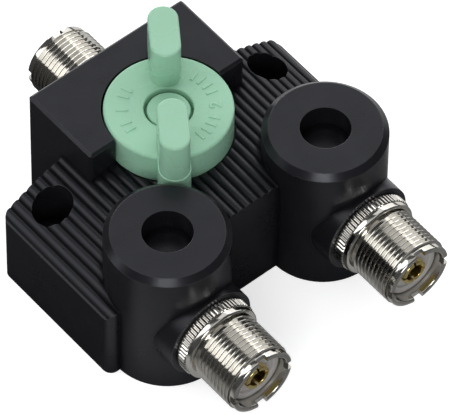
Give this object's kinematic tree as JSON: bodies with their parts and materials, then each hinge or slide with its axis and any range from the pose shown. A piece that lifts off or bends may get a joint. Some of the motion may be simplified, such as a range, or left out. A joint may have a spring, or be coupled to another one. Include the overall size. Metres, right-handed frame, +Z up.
{
  "type": "coaxial antenna switch",
  "caption": "Ribbed cast switch box that joins a common coaxial socket to one of its output sockets when the top knob is turned.",
  "frame": {"origin": "where the knob's axis meets the flat underside", "axes": "+Z up along the knob's axis, -Y to the output sockets, +Y to the common socket"},
  "size_m": [0.0724, 0.0912, 0.0437],
  "materials": {
    "body_paint": "satin black paint on die-cast alloy",
    "knob_plastic": "satin mint green moulding",
    "nickel": "bright nickel plating",
    "gold": "gold flash over brass",
    "ptfe": "waxy grey insulator",
    "steel": "zinc plated steel",
    "silver": "silver plated brass",
    "brass": "plain brass",
    "alloy": "plain rolled aluminium"
  },
  "bodies": {
    "body": {"housing": "body_paint", "bottom_cover": "alloy", "cover_screws": "steel", "left_connector_shell": "nickel", "right_connector_shell": "nickel", "common_connector_shell": "nickel", "left_insulator": "ptfe", "right_insulator": "ptfe", "common_insulator": "ptfe", "left_contact": "gold", "right_contact": "gold", "common_contact": "gold", "left_conductor": "silver", "right_conductor": "silver", "common_conductor": "silver", "left_bead": "ptfe", "right_bead": "ptfe", "left_contact_jaw": "brass", "right_contact_jaw": "brass", "contact_base": "ptfe", "detent_plate": "steel", "detent_screws": "steel", "shaft_bushing": "brass"},
    "rotor": {"knob": "knob_plastic", "knob_cap": "knob_plastic", "knob_screw": "steel", "shaft": "steel", "retaining_ring": "steel", "spring_washer": "steel", "rotor": "ptfe", "rotor_pin": "steel", "rotor_rivets": "silver", "contact_blade": "silver", "ground_sector": "brass", "detent_ball": "steel", "detent_spring": "steel"}
  },
  "joints": [
    {"name": "knob_turn", "type": "hinge", "parent": "body", "child": "rotor", "pos_m": [0, 0, 0.03], "axis": [0, 0, 1], "range_deg": [0, 70]}
  ]
}
